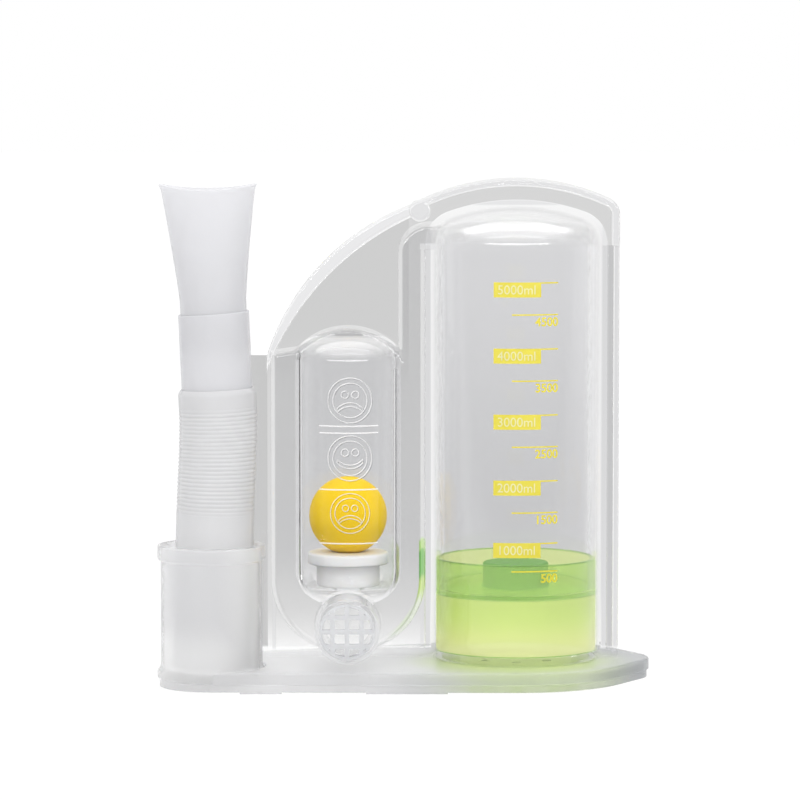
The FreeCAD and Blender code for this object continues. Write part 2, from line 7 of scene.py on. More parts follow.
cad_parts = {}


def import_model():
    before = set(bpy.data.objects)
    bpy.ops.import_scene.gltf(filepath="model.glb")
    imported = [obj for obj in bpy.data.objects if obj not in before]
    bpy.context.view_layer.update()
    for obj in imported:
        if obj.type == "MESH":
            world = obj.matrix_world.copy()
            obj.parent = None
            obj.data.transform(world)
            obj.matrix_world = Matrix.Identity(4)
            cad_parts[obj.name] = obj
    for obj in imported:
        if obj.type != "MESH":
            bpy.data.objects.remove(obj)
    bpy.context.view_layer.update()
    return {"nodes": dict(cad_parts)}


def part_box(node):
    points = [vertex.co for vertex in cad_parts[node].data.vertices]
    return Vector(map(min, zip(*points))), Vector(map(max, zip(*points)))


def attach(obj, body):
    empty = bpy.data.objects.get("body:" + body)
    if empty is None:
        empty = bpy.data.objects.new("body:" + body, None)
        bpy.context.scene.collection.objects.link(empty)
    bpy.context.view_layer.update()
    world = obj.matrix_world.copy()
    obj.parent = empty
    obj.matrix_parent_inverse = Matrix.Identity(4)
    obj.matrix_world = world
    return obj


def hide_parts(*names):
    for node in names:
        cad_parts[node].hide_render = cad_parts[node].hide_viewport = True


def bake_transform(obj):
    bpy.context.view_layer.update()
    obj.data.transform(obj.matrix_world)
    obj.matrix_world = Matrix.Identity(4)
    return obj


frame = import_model()

MM = 0.001

# Camera, a long lens from the front and slightly above
LENS_MM = 202.5
SENSOR_MM = 36.0
VIEW_DISTANCE = 1.575
VIEW_PITCH = math.radians(4.9)
VIEW_TARGET = Vector((-0.0017, 0.0, 0.0978))

# Sizes taken from the frame
cup_low, cup_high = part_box("storage_cup")
deck_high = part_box("base_deck")[1]
piston_low, piston_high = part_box("piston")
ball_low, ball_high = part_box("flow_ball")
seat_low, seat_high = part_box("ball_seat")

cup_axis = (cup_low + cup_high) / 2
cup_flare_radius = (cup_high.x - cup_low.x) / 2
chamber_axis = (piston_low + piston_high) / 2
ball_center = (ball_low + ball_high) / 2
column_x = ball_center.x
stop_ring_height = 2.9 * MM
deck_top = deck_high.z - stop_ring_height
chamber_foot = deck_top + 3 * MM

# Clear shells
CHAMBER_RADIUS = 30.0 * MM
CHAMBER_APEX = 166.0 * MM
COLUMN_TOP = 120.3 * MM
HOOD_LEFT = chamber_axis.x - 37.5 * MM
RIM_REACH = 7.0 * MM
WEB_REACH = 2.0 * MM
COLUMN_RADIUS = 18.4 * MM
HOOD_TAIL = 152.0 * MM
DUCT_RADIUS = 26.9 * MM
DUCT_CENTER = 35.8 * MM

# How the shells' meshes are joined: least turn of the normals at a crease, overlap of the halves
CREASE = 0.04
CONTACT_OVERLAP = 0.005 * MM

# Sliver of air left round a piece that is a node's own shape
SKIN_GAP = 0.02 * MM

# Hose line
HOSE_RADIUS = 13.5 * MM
HOSE_BORE = 11.25 * MM
HOSE_LEAN = math.radians(1.5)
TOP_LEAN = math.radians(-2.4)
HOSE_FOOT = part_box("hose_lower_cuff")[0].z + HOSE_RADIUS * math.sin(HOSE_LEAN)
LOWER_CUFF_TOP = 60.6 * MM
BELLOWS_LENGTH = 36.8 * MM
BELLOWS_RIBS = 26
RIB_DEPTH = 0.2 * MM
UPPER_CUFF = 6.4 * MM
SLEEVE_RADIUS = 12.25 * MM
SLEEVE_WALL = 0.75 * MM
SLEEVE_SHOWING = 27.5 * MM
SLEEVE_INSERTION = 5.0 * MM
SLEEVE_RIM_DROP = 1.0 * MM
SLEEVE_RIM_CUT = 0.7 * MM
MOUTH_RADIUS = 11.45 * MM
MOUTH_WALL = 1.3 * MM
MOUTH_INSERTION = 14.0 * MM
MOUTH_SHOWING = 42.7 * MM
MOUTH_STRAIGHT = 3.0 * MM
MOUTH_HALF_WIDTH = 16.4 * MM
MOUTH_HALF_DEPTH = 9.0 * MM
MOUTH_DIP = 1.7 * MM
MOUTH_RISE = 0.5 * MM
MOUTH_LEVELLING = 0.55 * MM
LIP_HEIGHT = 2.2 * MM
LIP_FLARE = 0.55 * MM

# Scale printed on the chamber: height of the 1000 ml line, the steps between the thousands, and
# how far below a line its half line stands
SCALE_FIRST = 50.9 * MM
SCALE_FIRST_STEP = 21.6 * MM
SCALE_STEP = 22.76 * MM
SCALE_HALF_DROP = 10.95 * MM
SCALE_LAST_DROP = 9.7 * MM
SCALE_COUNT = 5

# Moulded marks on the column: heights of the faces and the level lines, and how far the painted
# shadow of a line is shifted
MARKS_SHIFT = 0.9 * MM
FACE_LOW = 59.9 * MM
FACE_GOOD = 79.1 * MM
FACE_HIGH = 99.2 * MM
LEVEL_LINES = (90.2 * MM, 87.8 * MM, 68.1 * MM, 49.3 * MM)
PAINTED_SHADOW_SHIFT = 0.26 * MM

# Height of the piston's floor above its lower rim
PISTON_FLOOR = 21.3 * MM

ROUND = 96

# Sight that was turned this often goes straight on through the shells, and through the rest
SHELL_TURNS = 3.5
OTHER_TURNS = 9.5


# Node helpers

class Shader:
    """Small helper that adds and links shader nodes."""

    def __init__(self, name):
        self.material = bpy.data.materials.new(name)
        self.material.use_nodes = True
        self.tree = self.material.node_tree
        self.tree.nodes.clear()
        self.output = self.add("ShaderNodeOutputMaterial")

    def add(self, kind, **inputs):
        node = self.tree.nodes.new(kind)
        for key, value in inputs.items():
            self.set(node, key.replace("_", " "), value)
        return node

    def set(self, node, key, value):
        socket = node.inputs[key]
        if isinstance(value, bpy.types.NodeSocket):
            self.tree.links.new(value, socket)
        else:
            socket.default_value = value

    def mix(self, factor, first, second):
        node = self.add("ShaderNodeMixShader")
        self.set(node, 0, factor)
        self.tree.links.new(first, node.inputs[1])
        self.tree.links.new(second, node.inputs[2])
        return node.outputs[0]

    def math(self, operation, first, second):
        node = self.add("ShaderNodeMath")
        node.operation = operation
        self.set(node, 0, first)
        self.set(node, 1, second)
        return node.outputs[0]

    def mix_color(self, factor, first, second):
        node = self.add("ShaderNodeMix")
        node.data_type = "RGBA"
        self.set(node, 0, factor)
        self.set(node, 6, first)
        self.set(node, 7, second)
        return node.outputs[2]

    def noise(self, scale, detail=3.0):
        where = self.add("ShaderNodeTexCoord").outputs["Object"]
        return self.add("ShaderNodeTexNoise", Vector=where, Scale=scale, Detail=detail).outputs[0]

    def ramp(self, factor, low, high):
        return self.ramp_between(factor, 0.0, 1.0, low, high)

    def place(self):
        """X, Y and Z of the point that is shaded, in the row frame."""
        where = self.add("ShaderNodeTexCoord").outputs["Object"]
        return self.add("ShaderNodeSeparateXYZ", Vector=where).outputs

    def facing(self, axis):
        """1 where the surface faces along the axis, forwards or backwards, and 0 where it stands
        edge on."""
        normal = self.add("ShaderNodeNewGeometry").outputs["Normal"]
        return self.math("ABSOLUTE", self.add("ShaderNodeSeparateXYZ", Vector=normal).outputs[axis], 0)

    def share(self, value, none, full):
        """Smooth change from 0 at none to 1 at full, in either direction."""
        node = self.add("ShaderNodeMapRange", Value=value)
        node.interpolation_type = "SMOOTHSTEP"
        node.inputs["From Min"].default_value = none
        node.inputs["From Max"].default_value = full
        return node.outputs[0]

    def both(self, first, second):
        return self.math("MULTIPLY", first, second)

    def either(self, first, second):
        return self.math("MAXIMUM", first, second)

    def axis_distance(self, place, x):
        """Distance from an upright axis at x."""
        across = self.math("SUBTRACT", place["X"], x)
        square = self.math("ADD", self.both(across, across), self.both(place["Y"], place["Y"]))
        return self.math("SQRT", square, 0)

    def ramp_between(self, value, start, end, low, high):
        node = self.add("ShaderNodeMapRange", Value=value)
        node.inputs["From Min"].default_value = start
        node.inputs["From Max"].default_value = end
        node.inputs["To Min"].default_value = low
        node.inputs["To Max"].default_value = high
        return node.outputs[0]

    def bump(self, height, strength, distance):
        node = self.add("ShaderNodeBump", Height=height, Strength=strength, Distance=distance)
        return node.outputs[0]

    def finish(self, surface):
        self.tree.links.new(surface, self.output.inputs["Surface"])
        return self.material


def rgb(red, green, blue):
    """Scene-linear colour from 8-bit sRGB values, with alpha."""
    def linear(value):
        v = value / 255
        return v / 12.92 if v <= 0.04045 else ((v + 0.055) / 1.055) ** 2.4
    return (linear(red), linear(green), linear(blue), 1.0)


# Materials

def lets_light_through(s, surface, tint, most_turns):
    """Surface that refracts sight, but lets lamp light and bounced light pass with a tint. Sight
    that was turned more often than most_turns goes straight on too."""
    through = s.add("ShaderNodeBsdfTransparent")
    through.inputs["Color"].default_value = tint
    light = s.add("ShaderNodeLightPath")
    passing = s.either(light.outputs["Is Shadow Ray"], light.outputs["Is Diffuse Ray"])
    tired = s.math("GREATER_THAN", light.outputs["Ray Depth"], most_turns)
    return s.mix(s.either(passing, tired), surface, through.outputs[0])


def clear_plastic(name, density, tone, openness=None):
    """Polished clear plastic with faint moulding waves. It darkens with its thickness. tone is a
    colour, or a function that makes one from the shader, which may hold painted light and shade.
    openness does so with the share of sight that goes straight through; where this shows the white
    backdrop it stands for painted highlights."""
    s = Shader(name)
    clouds = s.noise(45.0, 2.0)
    bump = s.bump(clouds, 0.02, 0.0003)
    glass = s.add("ShaderNodeBsdfPrincipled", Normal=bump, Roughness=s.ramp(clouds, 0.02, 0.05))
    s.set(glass, "Base Color", tone(s) if callable(tone) else tone)
    glass.inputs["IOR"].default_value = 1.42
    glass.inputs["Transmission Weight"].default_value = 1.0
    surface = glass.outputs[0]
    if openness:
        open_skin = s.add("ShaderNodeBsdfTransparent")
        surface = s.mix(openness(s), surface, open_skin.outputs[0])
    depth = s.add("ShaderNodeVolumeAbsorption")
    depth.inputs["Color"].default_value = rgb(180, 181, 182)
    depth.inputs["Density"].default_value = density
    s.tree.links.new(depth.outputs[0], s.output.inputs["Volume"])
    return s.finish(lets_light_through(s, surface, rgb(254, 254, 254), SHELL_TURNS))


def outside_tubes(s, place):
    """1 outside the chamber and the column, 0 on their walls."""
    past_chamber = s.share(s.axis_distance(place, chamber_axis.x), CHAMBER_RADIUS + 0.2 * MM,
                           CHAMBER_RADIUS + 0.5 * MM)
    over_chamber = s.share(place["Z"], CHAMBER_APEX, CHAMBER_APEX + 0.3 * MM)
    past_column = s.share(s.axis_distance(place, column_x), COLUMN_RADIUS + 0.2 * MM,
                          COLUMN_RADIUS + 0.5 * MM)
    over_column = s.share(place["Z"], COLUMN_TOP, COLUMN_TOP + 0.3 * MM)
    return s.both(s.either(past_chamber, over_chamber), s.either(past_column, over_column))


def shell_painted_shading(s):
    """Painted light and shade on the shells' tint. Painted light makes them pale on the raised rims, in
    the domes, at the web's foot and behind the piston. Painted shade makes them deeper on the chamber's
    wall above it, on the column and in the sail, and deepest in the strips behind the hose and beside
    the chamber. The duct's wall takes a painted refraction of the piston's green."""
    place = s.place()
    across = place["X"]
    height = place["Z"]
    depth = s.math("ABSOLUTE", place["Y"], 0)
    in_web = s.math("LESS_THAN", depth, WEB_REACH)
    left_strip = s.math("LESS_THAN", across, cup_high.x)
    right_strip = s.share(across, chamber_axis.x + 30 * MM, chamber_axis.x + 33 * MM)
    right_strip = s.both(right_strip, s.math("LESS_THAN", height, HOOD_TAIL))
    sail = s.both(s.math("LESS_THAN", across, HOOD_LEFT), s.share(height, 96 * MM, 126 * MM))
    # Painted light and shade on the web: paler at its foot, deeper in the sail, deepest in the strips
    # behind the hose and beside the chamber.
    web = s.mix_color(s.share(height, 26 * MM, deck_top), rgb(216, 216, 216), rgb(242, 242, 242))
    web = s.mix_color(sail, web, rgb(208, 208, 208))
    web = s.mix_color(left_strip, web, rgb(200, 200, 200))
    web = s.mix_color(right_strip, web, rgb(197, 197, 198))
    # Painted light and shade on the duct and the chamber: paler low down, at the dome and at the foot,
    # deeper higher up and on the column.
    duct = s.mix_color(s.share(height, 48 * MM, 22 * MM), rgb(236, 236, 237), rgb(249, 249, 249))
    by_chamber = s.share(s.axis_distance(place, chamber_axis.x), 31 * MM, 30.5 * MM)
    chamber = s.mix_color(s.share(height, 150 * MM, 50 * MM), rgb(236, 236, 237), rgb(227, 227, 228))
    pale_ends = s.either(s.share(height, 149 * MM, 164 * MM),
                         s.share(height, chamber_foot + MM, chamber_foot))
    chamber = s.mix_color(s.share(height, 36 * MM, 14 * MM), chamber, rgb(244, 244, 244))
    chamber = s.mix_color(pale_ends, chamber, rgb(254, 254, 254))
    walls = s.mix_color(by_chamber, duct, chamber)
    by_column = s.share(s.axis_distance(place, column_x), 20 * MM, 19 * MM)
    by_column = s.both(by_column, s.share(height, 30 * MM, 44 * MM))
    by_column = s.both(by_column, s.share(height, COLUMN_TOP, COLUMN_TOP - 9 * MM))
    walls = s.mix_color(by_column, walls, rgb(228, 228, 229))
    outside = outside_tubes(s, place)
    # Painted highlight: the raised rims are paler.
    rims = s.both(outside, s.math("LESS_THAN", depth, RIM_REACH))
    below_hood = s.math("LESS_THAN", height, HOOD_TAIL)
    rim_painted_light = s.mix_color(below_hood, rgb(238, 238, 239), rgb(224, 224, 225))
    rim_painted_light = s.mix_color(sail, rim_painted_light, rgb(240, 240, 241))
    walls = s.mix_color(rims, walls, rim_painted_light)
    tone = s.mix_color(in_web, walls, web)
    # Painted refraction of the piston's green on the duct's wall.
    return s.mix_color(painted_refraction_place(s, place), tone, painted_refraction_green(s, height))


def painted_refraction_place(s, place):
    """Place of the painted refraction of the piston's green: the lower right part of the duct's side
    wall.
    """
    across = s.math("SUBTRACT", place["X"], column_x)
    below = s.math("MINIMUM", s.math("SUBTRACT", place["Z"], DUCT_CENTER), 0)
    away = s.math("SQRT", s.math("ADD", s.both(across, across), s.both(below, below)), 0)
    wall = s.both(s.share(away, DUCT_RADIUS - 2.3 * MM, DUCT_RADIUS - 1.9 * MM),
                  s.share(away, DUCT_RADIUS + 0.3 * MM, DUCT_RADIUS + 0.1 * MM))
    reach = s.both(s.share(across, 12 * MM, 22 * MM), s.share(place["Z"], 50.0 * MM, 48.5 * MM))
    return s.both(wall, reach)


def painted_refraction_green(s, height):
    """Painted refraction: greens of the piston as the duct's wall shows them, from top to bottom."""
    tone = s.mix_color(s.share(height, 26 * MM, 32 * MM), rgb(222, 232, 208), rgb(200, 230, 130))
    tone = s.mix_color(s.share(height, 34.5 * MM, 37 * MM), tone, rgb(116, 188, 92))
    return s.mix_color(s.share(height, 45 * MM, 46 * MM), tone, rgb(186, 226, 136))


def shell_painted_highlights(s):
    """Painted highlights and painted light. The domes, the chamber's sides and foot and the rounded
    edges of rims and duct let sight straight through to the white backdrop, so that they shine white."""
    place = s.place()
    front = s.facing("Y")
    edge = s.both(s.share(front, 0.25, 0.45), s.share(front, 0.95, 0.85))
    edge = s.both(edge, outside_tubes(s, place))
    dome = s.share(s.facing("Z"), 0.08, 0.85)
    foot = s.share(place["Z"], chamber_foot + MM, chamber_foot)
    side = s.both(s.share(front, 0.5, 0.3),
                  s.share(s.axis_distance(place, chamber_axis.x), 30.3 * MM, 30.1 * MM))
    # Painted highlights on rim edges and domes, painted light on the chamber's foot and sides.
    shine = s.either(s.math("MULTIPLY", edge, 0.75), s.math("MULTIPLY", dome, 0.94))
    return s.either(shine, s.either(s.math("MULTIPLY", foot, 0.9), s.math("MULTIPLY", side, 0.92)))


def painted_relief_light(name, cover, low, high):
    """Painted highlight or painted shadow of fine raised lines on clear plastic: a pale copy stands for
    their lit side, a dark copy for their shaded side.
    """
    s = Shader(name)
    clouds = s.noise(300.0, 2.0)
    skin = s.add("ShaderNodeBsdfPrincipled", Roughness=s.ramp(clouds, 0.25, 0.4))
    s.set(skin, "Base Color", s.mix_color(clouds, low, high))
    through = s.add("ShaderNodeBsdfTransparent")
    through.inputs["Color"].default_value = rgb(250, 250, 250)
    return s.finish(s.mix(cover, through.outputs[0], skin.outputs[0]))


def frosted_plastic(name, cover, tone, side_opening, painted_green_light=0.0):
    """Frosted, translucent plastic of the base and the cup. tone makes the colour from the shader, with
    painted light and shade. side_opening lightens walls seen edge on. The base takes painted green
    light from the piston around the chamber's foot, and its stop ring is nearly clear."""
    s = Shader(name)
    clouds = s.noise(60.0, 3.0)
    bump = s.bump(s.noise(1600.0, 2.0), 0.1, 0.0002)
    shade = tone(s)
    if painted_green_light:
        # Painted light: green from the piston, strongest at the chamber's foot.
        green_light_share = s.math("MULTIPLY", chamber_nearness(s), painted_green_light)
        shade = s.mix_color(green_light_share, shade, rgb(214, 234, 158))
    glass = s.add("ShaderNodeBsdfPrincipled", Normal=bump, Roughness=s.ramp(clouds, 0.14, 0.22))
    s.set(glass, "Base Color", shade)
    glass.inputs["IOR"].default_value = 1.33
    glass.inputs["Transmission Weight"].default_value = 1.0
    skin = s.add("ShaderNodeBsdfDiffuse", Normal=bump)
    s.set(skin, "Color", shade)
    glow = s.add("ShaderNodeBsdfTranslucent", Normal=bump)
    s.set(glow, "Color", shade)
    body = s.mix(0.5, skin.outputs[0], glow.outputs[0])
    surface = s.mix(cover, glass.outputs[0], body)
    thin = s.add("ShaderNodeBsdfTransparent")
    thin.inputs["Color"].default_value = rgb(246, 246, 246)
    surface = s.mix(s.math("MULTIPLY", s.share(s.facing("Y"), 0.5, 0.1), side_opening), surface,
                    thin.outputs[0])
    if painted_green_light:
        clear_ring = s.add("ShaderNodeBsdfTransparent")
        clear_ring.inputs["Color"].default_value = rgb(252, 253, 250)
        ring = s.share(s.place()["Z"], deck_top + 0.1 * MM, deck_top + 0.3 * MM)
        surface = s.mix(s.math("MULTIPLY", ring, 0.97), surface, clear_ring.outputs[0])
    return s.finish(lets_light_through(s, surface, rgb(243, 243, 243), OTHER_TURNS))


def base_tone_with_painted_shade(s):
    """Grey of the base with painted light and shade: pale on the left, greyer under the chamber,
    deepest at the right tip.
    """
    across = s.place()["X"]
    left = s.mix_color(s.share(across, -18 * MM, 10 * MM), rgb(240, 240, 241), rgb(222, 223, 224))
    return s.mix_color(s.share(across, chamber_axis.x + 0.7 * CHAMBER_RADIUS,
                               chamber_axis.x + 1.2 * CHAMBER_RADIUS), left, rgb(192, 194, 196))


def cup_tone_with_painted_light(s):
    """Grey of the cup, with painted light that makes it paler on its right and at its foot."""
    place = s.place()
    right = s.share(place["X"], cup_axis.x + 2 * MM, cup_axis.x + 12 * MM)
    low = s.share(place["Z"], 26 * MM, 12 * MM)
    return s.mix_color(s.either(right, low), rgb(241, 241, 242), rgb(254, 254, 254))


def chamber_nearness(s):
    """Reach of the painted green light: 1 at the foot of the chamber, 0 far from it."""
    where = s.add("ShaderNodeTexCoord").outputs["Object"]
    away = s.add("ShaderNodeVectorMath")
    away.operation = "SUBTRACT"
    s.tree.links.new(where, away.inputs[0])
    away.inputs[1].default_value = (chamber_axis.x, -0.3 * CHAMBER_RADIUS, deck_top)
    length = s.add("ShaderNodeVectorMath")
    length.operation = "LENGTH"
    s.tree.links.new(away.outputs[0], length.inputs[0])
    fade = s.add("ShaderNodeMapRange", Value=length.outputs["Value"])
    fade.interpolation_type = "SMOOTHSTEP"
    fade.inputs["From Min"].default_value = 0.6 * CHAMBER_RADIUS
    fade.inputs["From Max"].default_value = 1.45 * CHAMBER_RADIUS
    fade.inputs["To Min"].default_value = 1.0
    fade.inputs["To Max"].default_value = 0.0
    return fade.outputs[0]


def milky_plastic(name, tone, opening):
    """Milky plastic of the hose line. opening is how much of it lets sight through. It is more
    where the walls stand edge on."""
    s = Shader(name)
    clouds = s.noise(90.0, 3.0)
    bump = s.bump(s.noise(900.0, 2.0), 0.08, 0.0002)
    shade = s.mix_color(clouds, rgb(*[v - 4 for v in tone]), rgb(*tone))
    skin = s.add("ShaderNodeBsdfPrincipled", Normal=bump, Roughness=s.ramp(clouds, 0.4, 0.52))
    s.set(skin, "Base Color", shade)
    glow = s.add("ShaderNodeBsdfTranslucent", Normal=bump)
    s.set(glow, "Color", shade)
    through = s.add("ShaderNodeBsdfTransparent")
    through.inputs["Color"].default_value = rgb(245, 245, 246)
    solid = s.mix(0.45, skin.outputs[0], glow.outputs[0])
    edge_on = s.math("MULTIPLY", s.share(s.facing("Y"), 0.55, 0.1), 0.5)
    return s.finish(s.mix(s.either(edge_on, opening), solid, through.outputs[0]))


def green_plastic():
    """Tinted, slightly milky plastic of the piston, with painted light and shade: paler towards its
    open skirt as painted light from below, paler on its rear band, clearer in the band above its floor,
    deep and solid in the boss, with painted dark lines of shade along its edges."""
    s = Shader("green_plastic")
    clouds = s.noise(70.0, 2.0)
    place = s.place()
    height = place["Z"]
    floor_top = piston_low.z + PISTON_FLOOR
    # Painted light: the foot of the skirt is paler, as lit from below.
    foot = s.mix_color(clouds, rgb(250, 254, 192), rgb(253, 255, 198))
    skirt = s.mix_color(clouds, rgb(232, 250, 166), rgb(237, 252, 174))
    front_band = s.mix_color(clouds, rgb(216, 246, 168), rgb(222, 248, 174))
    # Painted light: the rear band is paler than the front one.
    rear_band_painted_light = s.mix_color(clouds, rgb(240, 252, 180), rgb(244, 253, 186))
    # Painted shade: dark green lines along the floor, the rim and the foot.
    line = rgb(150, 204, 104)
    tone = s.mix_color(s.share(height, piston_low.z, piston_low.z + 15 * MM), foot, skirt)
    band = s.mix_color(s.share(place["Y"], -4 * MM, 4 * MM), front_band, rear_band_painted_light)
    over_floor = s.share(height, floor_top - 1.5 * MM, floor_top - 0.9 * MM)
    tone = s.mix_color(over_floor, tone, band)
    away = s.axis_distance(place, chamber_axis.x)
    at_wall = s.share(away, 25.8 * MM, 26.3 * MM)
    floor_line = s.both(s.share(height, floor_top - 2.0 * MM, floor_top - 1.0 * MM),
                        s.share(height, floor_top + 0.6 * MM, floor_top - 0.2 * MM))
    rim_line = s.share(height, piston_high.z - 0.6 * MM, piston_high.z - 0.4 * MM)
    foot_line = s.share(height, piston_low.z + 0.45 * MM, piston_low.z + 0.3 * MM)
    lines = s.both(s.either(s.either(floor_line, rim_line), foot_line), at_wall)
    # Painted shade: the dark edge lines are mixed in here.
    tone = s.mix_color(s.math("MULTIPLY", lines, 0.8), tone, line)
    boss = s.share(away, 12.6 * MM, 12.0 * MM)
    tone = s.mix_color(boss, tone, rgb(146, 200, 112))
    glass = s.add("ShaderNodeBsdfPrincipled", Roughness=s.ramp(clouds, 0.06, 0.12))
    s.set(glass, "Base Color", tone)
    glass.inputs["IOR"].default_value = 1.3
    glass.inputs["Transmission Weight"].default_value = 1.0
    skin = s.add("ShaderNodeBsdfDiffuse")
    s.set(skin, "Color", tone)
    glow = s.add("ShaderNodeBsdfTranslucent")
    s.set(glow, "Color", tone)
    body = s.mix(0.6, skin.outputs[0], glow.outputs[0])
    cover = s.math("SUBTRACT", 0.5, s.math("MULTIPLY", over_floor, 0.25))
    cover = s.either(cover, s.math("MULTIPLY", boss, 0.8))
    surface = s.mix(cover, glass.outputs[0], body)
    return s.finish(lets_light_through(s, surface, rgb(250, 253, 236), OTHER_TURNS))


def solid_plastic(name, low, high, roughness, grain, shine):
    """Opaque moulded plastic with a faint cloudiness and surface grain."""
    s = Shader(name)
    clouds = s.noise(110.0, 3.0)
    bump = s.bump(s.noise(1200.0, 2.0), grain, 0.0002)
    body = s.add("ShaderNodeBsdfPrincipled", Normal=bump,
                 Roughness=s.ramp(clouds, roughness - 0.04, roughness + 0.06))
    s.set(body, "Base Color", s.mix_color(clouds, low, high))
    body.inputs["Specular IOR Level"].default_value = shine
    body.inputs["Subsurface Weight"].default_value = 0.15
    body.inputs["Subsurface Radius"].default_value = (0.004, 0.003, 0.002)
    body.inputs["Subsurface Scale"].default_value = 0.5
    return s.finish(body.outputs[0])


CLEAR = clear_plastic("clear_plastic", 16.0, shell_painted_shading, shell_painted_highlights)
PORT = clear_plastic("clear_port", 5.0, rgb(243, 243, 244))
# Pale line materials are painted highlights, the dark one a painted shadow.
FACE_PAINTED_HIGHLIGHT = painted_relief_light("face_painted_highlight", 0.34, rgb(240, 240, 240), rgb(252, 252, 252))
FACE_PAINTED_SHADOW = painted_relief_light("face_painted_shadow", 0.14, rgb(96, 96, 98), rgb(112, 112, 114))
LINE_PAINTED_HIGHLIGHT = painted_relief_light("line_painted_highlight", 0.42, rgb(240, 240, 240), rgb(252, 252, 252))
GRILLE = milky_plastic("grille_plastic", (226, 227, 229), 0.35)
FROSTED = frosted_plastic("frosted_cup", 0.3, cup_tone_with_painted_light, 0.5)
BASE = frosted_plastic("frosted_base", 0.34, base_tone_with_painted_shade, 0.0, 0.75)
HOSE = milky_plastic("milky_hose", (228, 228, 229), 0.12)
SLEEVE = milky_plastic("milky_sleeve", (233, 233, 235), 0.30)
MOUTH = milky_plastic("milky_mouthpiece", (226, 226, 228), 0.25)
GREEN = green_plastic()
YELLOW = solid_plastic("yellow_ball", rgb(249, 206, 0), rgb(251, 212, 4), 0.5, 0.04, 0.1)
WHITE = solid_plastic("white_seat", rgb(239, 239, 238), rgb(245, 245, 244), 0.5, 0.06, 0.3)
INK = solid_plastic("yellow_ink", rgb(190, 176, 34), rgb(198, 184, 44), 0.5, 0.02, 0.3)
INK_PALE = solid_plastic("pale_ink", rgb(206, 202, 150), rgb(212, 209, 164), 0.5, 0.02, 0.3)


# Mesh helpers

def placed(name, data):
    """Puts a mesh, lamp or camera into the scene."""
    piece = bpy.data.objects.new(name, data)
    bpy.context.scene.collection.objects.link(piece)
    return piece


def add_piece(name, verts, faces, material, body, node=None, smooth_angle=40):
    """Adds a mesh piece in the row frame that rides on a body and may stand for a CAD node."""
    mesh = bpy.data.meshes.new(name)
    mesh.from_pydata([tuple(v) for v in verts], [], faces)
    bm = bmesh.new()
    bm.from_mesh(mesh)
    bmesh.ops.remove_doubles(bm, verts=bm.verts, dist=1e-7)
    bmesh.ops.recalc_face_normals(bm, faces=bm.faces)
    bm.to_mesh(mesh)
    bm.free()
    mesh.shade_smooth()
    mesh.set_sharp_from_angle(angle=math.radians(smooth_angle))
    mesh.materials.append(material)
    piece = placed(name, mesh)
    if body:
        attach(piece, body)
    if node:
        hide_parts(node)
    return piece


def stitched(rings, closed_tube=False):
    """Vertices and faces of a surface through rings of equal count. closed_tube joins last to first."""
    count = len(rings[0])
    verts = [v for ring in rings for v in ring]
    faces = []
    total = len(rings)
    for i in range(total if closed_tube else total - 1):
        for j in range(count):
            a = i * count + j
            b = i * count + (j + 1) % count
            c = ((i + 1) % total) * count + (j + 1) % count
            d = ((i + 1) % total) * count + j
            faces.append((a, b, c, d))
    return verts, faces


def softened(points, radius, steps=4):
    """A closed profile's corners rounded off with short curves."""
    out = []
    count = len(points)
    for i in range(count):
        here = Vector(points[i])
        before = Vector(points[i - 1])
        after = Vector(points[(i + 1) % count])
        size = radius[i] if isinstance(radius, (list, tuple)) else radius
        to_before = before - here
        to_after = after - here
        reach = min(size, to_before.length * 0.45, to_after.length * 0.45)
        if reach < 1e-6:
            out.append(here)
            continue
        start = here + to_before.normalized() * reach
        end = here + to_after.normalized() * reach
        for k in range(steps + 1):
            t = k / steps
            out.append(start * (1 - t) ** 2 + here * 2 * t * (1 - t) + end * t * t)
    return out


def lathe_rings(profile, axis, count=ROUND):
    """Rings of a turned piece from (radius, z) points, about a vertical axis."""
    rings = []
    for radius, z in profile:
        ring = []
        for j in range(count):
            turn = 2 * math.pi * j / count
            ring.append(Vector((axis.x + radius * math.cos(turn), axis.y + radius * math.sin(turn), z)))
        rings.append(ring)
    return rings


def turned(name, profile, axis, material, body, node=None, matrix=None, count=ROUND):
    """Closed piece of revolution from a closed profile that stays off the axis."""
    verts, faces = stitched(lathe_rings(profile, axis, count), closed_tube=True)
    if matrix:
        verts = [matrix @ v for v in verts]
    return add_piece(name, verts, faces, material, body, node)


def leaned(angle, x, z):
    """Turn about the Y axis through a point, leaning to the right for a positive angle."""
    pivot = Vector((x, 0, z))
    return Matrix.Translation(pivot) @ Matrix.Rotation(angle, 4, "Y") @ Matrix.Translation(-pivot)


def thinned(mesh):
    """Moves a mesh's skin inwards, so that a sliver of air is left where two pieces meet."""
    outward = {}
    places = [tuple(round(c, 7) for c in v.co) for v in mesh.vertices]
    for polygon in mesh.polygons:
        polygon.material_index = 0
        for index in polygon.vertices:
            here = outward.setdefault(places[index], Vector())
            here += polygon.normal * polygon.area
    for v, place in zip(mesh.vertices, places):
        v.co -= outward[place].normalized() * SKIN_GAP


def copied_node(node, material, body):
    """A node's own shape as a piece."""
    mesh = frame["nodes"][node].data.copy()
    mesh.materials.clear()
    mesh.materials.append(material)
    thinned(mesh)
    piece = placed(node + "_clear", mesh)
    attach(piece, body)
    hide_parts(node)


